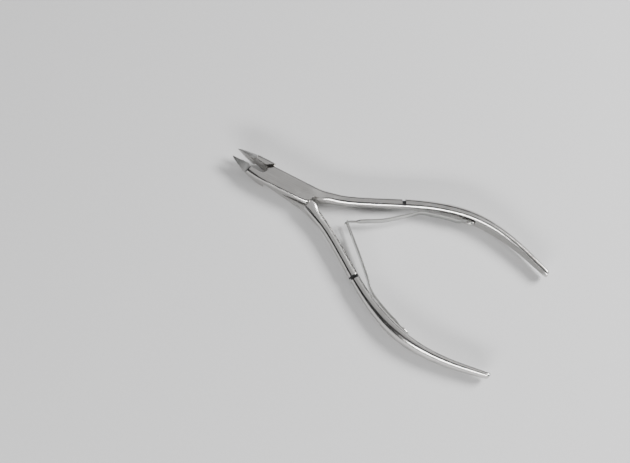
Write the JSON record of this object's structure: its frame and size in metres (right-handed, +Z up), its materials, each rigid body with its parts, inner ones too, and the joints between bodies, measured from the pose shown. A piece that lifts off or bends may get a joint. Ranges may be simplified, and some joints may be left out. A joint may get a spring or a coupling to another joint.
{
  "type": "cuticle nipper",
  "caption": "Steel cuticle nipper lying open: crossed levers with a half-lap joint, pointed cutting jaws, curved handles and two leaf springs that meet between them.",
  "frame": {"origin": "bottom centre of the box of the open nipper as it lies on its back face; the pivot axis is 34.2 mm towards the jaws", "axes": "+X along the nipper from the jaws to the handle ends, +Y towards the upper handle, +Z up from the back face to the front face, along the pivot axis"},
  "size_m": [0.1094, 0.0534, 0.0064],
  "materials": {
    "satin_steel": "satin polished stainless steel with fine lengthwise brushing",
    "spring_steel": "bright rolled spring steel"
  },
  "bodies": {
    "upper_half": {"upper_lever": "satin_steel", "pivot_screw": "satin_steel", "upper_spring_rivet": "spring_steel"},
    "lower_half": {"lower_lever": "satin_steel", "lower_spring_rivet": "spring_steel"},
    "upper_leaf": {"upper_leaf_spring": "spring_steel"},
    "lower_leaf": {"lower_leaf_spring": "spring_steel"}
  },
  "joints": [
    {"name": "handles_close", "type": "hinge", "parent": "upper_half", "child": "lower_half", "pos_m": [-0.03425, 0, 0.0032], "axis": [0, 0, 1], "range_deg": [0, 8.2], "stiffness_Nm_per_rad": 1.2},
    {"name": "upper_leaf_bends", "type": "hinge", "parent": "upper_half", "child": "upper_leaf", "pos_m": [0.02366, 0.02268, 0.0032], "axis": [0, 0, 1], "range_deg": [-3, 0]},
    {"name": "lower_leaf_bends", "type": "hinge", "parent": "lower_half", "child": "lower_leaf", "pos_m": [0.02366, -0.02268, 0.0032], "axis": [0, 0, 1], "range_deg": [0, 3]}
  ],
  "couplings": [
    {"joint": "upper_leaf_bends", "follows": "handles_close", "ratio": -0.335},
    {"joint": "lower_leaf_bends", "follows": "handles_close", "ratio": 0.335}
  ]
}
